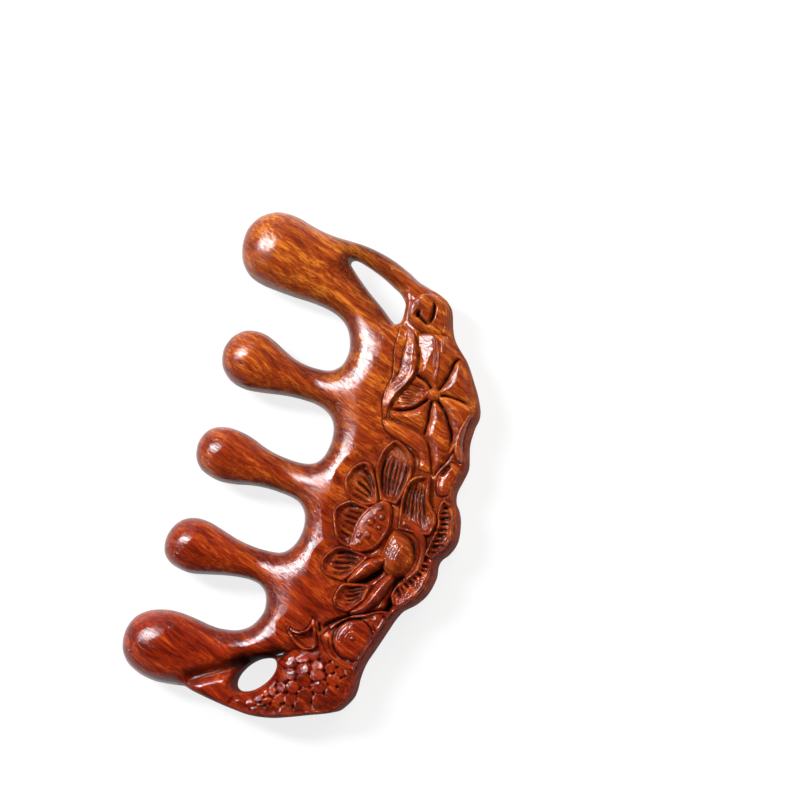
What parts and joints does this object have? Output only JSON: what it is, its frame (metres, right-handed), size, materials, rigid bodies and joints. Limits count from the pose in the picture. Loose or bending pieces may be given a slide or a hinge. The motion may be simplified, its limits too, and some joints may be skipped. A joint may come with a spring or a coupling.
{
  "type": "scalp massage comb",
  "caption": "Hand-held wooden scalp massage comb with thick round-tipped teeth and a back carved with a lotus leaf, a lotus flower and a curling carp, for kneading the scalp through the hair.",
  "frame": {"origin": "middle of the comb's bounding box, on the plane of its flat underside", "axes": "+X along the comb from the tooth beside the stem to the tooth beside the carp; +Y from the tooth tips to the carved back; +Z out of the carved face"},
  "size_m": [0.1151, 0.069, 0.0145],
  "materials": {
    "teeth": "glossy varnish over red-brown hardwood, the knobs a little more orange",
    "back": "glossy varnish over red-brown hardwood",
    "leaf": "glossy varnish over red-brown hardwood, dark in the carved cuts",
    "lotus": "glossy varnish over red-brown hardwood, dark in the carved cuts",
    "carp": "glossy varnish over red-brown hardwood, the darkest part"
  },
  "bodies": {
    "root": {"tooth_1": "teeth", "tooth_2": "teeth", "tooth_3": "teeth", "tooth_4": "teeth", "tooth_5": "teeth", "comb_back": "back", "stem_loop": "leaf", "leaf_blade": "leaf", "leaf_boss": "leaf", "leaf_scroll": "leaf", "leaf_fold_inner": "leaf", "leaf_fold_lower": "leaf", "leaf_fold_outer": "leaf", "leaf_tip_curl": "leaf", "petal_1": "lotus", "petal_2": "lotus", "petal_3": "lotus", "petal_4": "lotus", "petal_5": "lotus", "petal_6": "lotus", "petal_7": "lotus", "petal_8": "lotus", "petal_fold_6": "lotus", "petal_fold_7": "lotus", "seed_pod": "lotus", "lotus_bud": "lotus", "bud_hood": "lotus", "carp_head": "carp", "carp_eye": "carp", "carp_body": "carp", "carp_fin": "carp", "carp_tail": "carp"}
  },
  "joints": []
}
